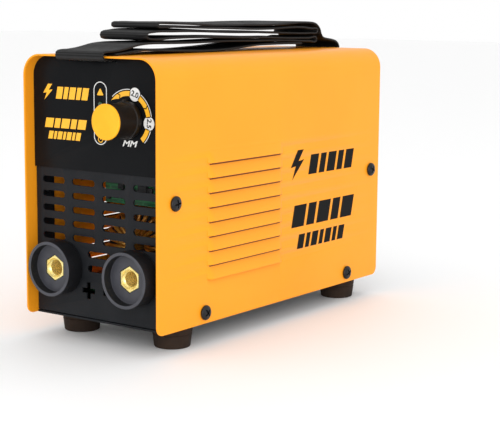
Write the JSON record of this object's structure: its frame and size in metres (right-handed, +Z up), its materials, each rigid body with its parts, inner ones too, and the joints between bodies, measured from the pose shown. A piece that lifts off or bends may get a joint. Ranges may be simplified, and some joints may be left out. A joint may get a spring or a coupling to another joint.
{
  "type": "stick welder",
  "caption": "Compact inverter stick welder: folded louvred cover, slotted front panel with cable sockets and a current knob, rear fan and switch, rubber feet and a folded webbing carry strap.",
  "frame": {"origin": "middle of the part's footprint in X and Y, on the surface that the feet stand on", "axes": "+X to the right of someone facing the front panel, -Y out of the front panel, +Z up"},
  "size_m": [0.1064, 0.2657, 0.1859],
  "materials": {
    "orange_paint": "semi-gloss powder coat",
    "grey_paint": "matte powder coat",
    "label_film": "satin printed film",
    "black_screw": "black oxide",
    "foot_rubber": "matte",
    "zinc_steel": "zinc plated",
    "black_plastic": "fine moulded texture",
    "brass": "turned",
    "copper": "bare copper, tinned at the ends",
    "knob_plastic": "satin moulded",
    "yellow_plastic": "satin moulded",
    "aluminium": "extruded, satin",
    "lamp_green": "clear lens, unlit",
    "lamp_amber": "clear lens, unlit",
    "board_green": "solder mask on glass fibre",
    "ferrite": "sintered",
    "enamelled_wire": "enamelled copper",
    "capacitor_sleeve": "shrink sleeve",
    "rocker_plastic": "satin moulded",
    "webbing": "ribbed polypropylene webbing"
  },
  "bodies": {
    "case": {"cover": "orange_paint", "base_tray": "grey_paint", "front_panel": "grey_paint", "rear_panel": "grey_paint", "front_label": "label_film", "cover_screw_left_front_upper": "black_screw", "cover_screw_left_front_lower": "black_screw", "cover_screw_left_rear_upper": "black_screw", "cover_screw_left_rear_lower": "black_screw", "cover_screw_right_front_upper": "black_screw", "cover_screw_right_front_lower": "black_screw", "cover_screw_right_rear_upper": "black_screw", "cover_screw_right_rear_lower": "black_screw", "foot_front_left": "foot_rubber", "foot_screw_front_left": "zinc_steel", "foot_front_right": "foot_rubber", "foot_screw_front_right": "zinc_steel", "foot_rear_left": "foot_rubber", "foot_screw_rear_left": "zinc_steel", "foot_rear_right": "foot_rubber", "foot_screw_rear_right": "zinc_steel", "socket_positive": "black_plastic", "socket_contact_positive": "brass", "socket_nut_positive": "black_plastic", "busbar_positive": "copper", "busbar_bolt_positive": "zinc_steel", "socket_negative": "black_plastic", "socket_contact_negative": "brass", "socket_nut_negative": "black_plastic", "busbar_negative": "copper", "busbar_bolt_negative": "zinc_steel", "potentiometer": "aluminium", "potentiometer_nut": "zinc_steel", "power_lamp": "lamp_green", "alarm_lamp": "lamp_amber", "control_board": "board_green", "power_board": "board_green", "heatsink_left": "aluminium", "heatsink_right": "aluminium", "transformer_core": "ferrite", "transformer_winding": "enamelled_wire", "choke_core": "ferrite", "choke_winding": "enamelled_wire", "capacitor": "capacitor_sleeve", "fan_frame": "black_plastic", "fan_screw_1": "black_screw", "fan_screw_2": "black_screw", "fan_screw_3": "black_screw", "fan_screw_4": "black_screw", "power_switch": "black_plastic", "cable_gland": "black_plastic", "gland_nut": "black_plastic", "carry_strap": "webbing", "strap_clamp_front": "zinc_steel", "strap_clamp_rear": "zinc_steel"},
    "knob": {"current_knob": "knob_plastic", "knob_cap": "yellow_plastic", "potentiometer_shaft": "aluminium"},
    "rocker": {"power_rocker": "rocker_plastic"},
    "fan": {"fan_rotor": "black_plastic"}
  },
  "joints": [
    {"name": "knob_turn", "type": "hinge", "parent": "case", "child": "knob", "pos_m": [0.0237, -0.111, 0.1328], "axis": [0, 1, 0], "range_deg": [-138, 138]},
    {"name": "rocker_tip", "type": "hinge", "parent": "case", "child": "rocker", "pos_m": [-0.024, 0.1127, 0.133], "axis": [1, 0, 0], "range_deg": [-24, 0]},
    {"name": "fan_spin", "type": "hinge", "parent": "case", "child": "fan", "pos_m": [0, 0.1022, 0.061], "axis": [0, 1, 0], "continuous": true}
  ]
}
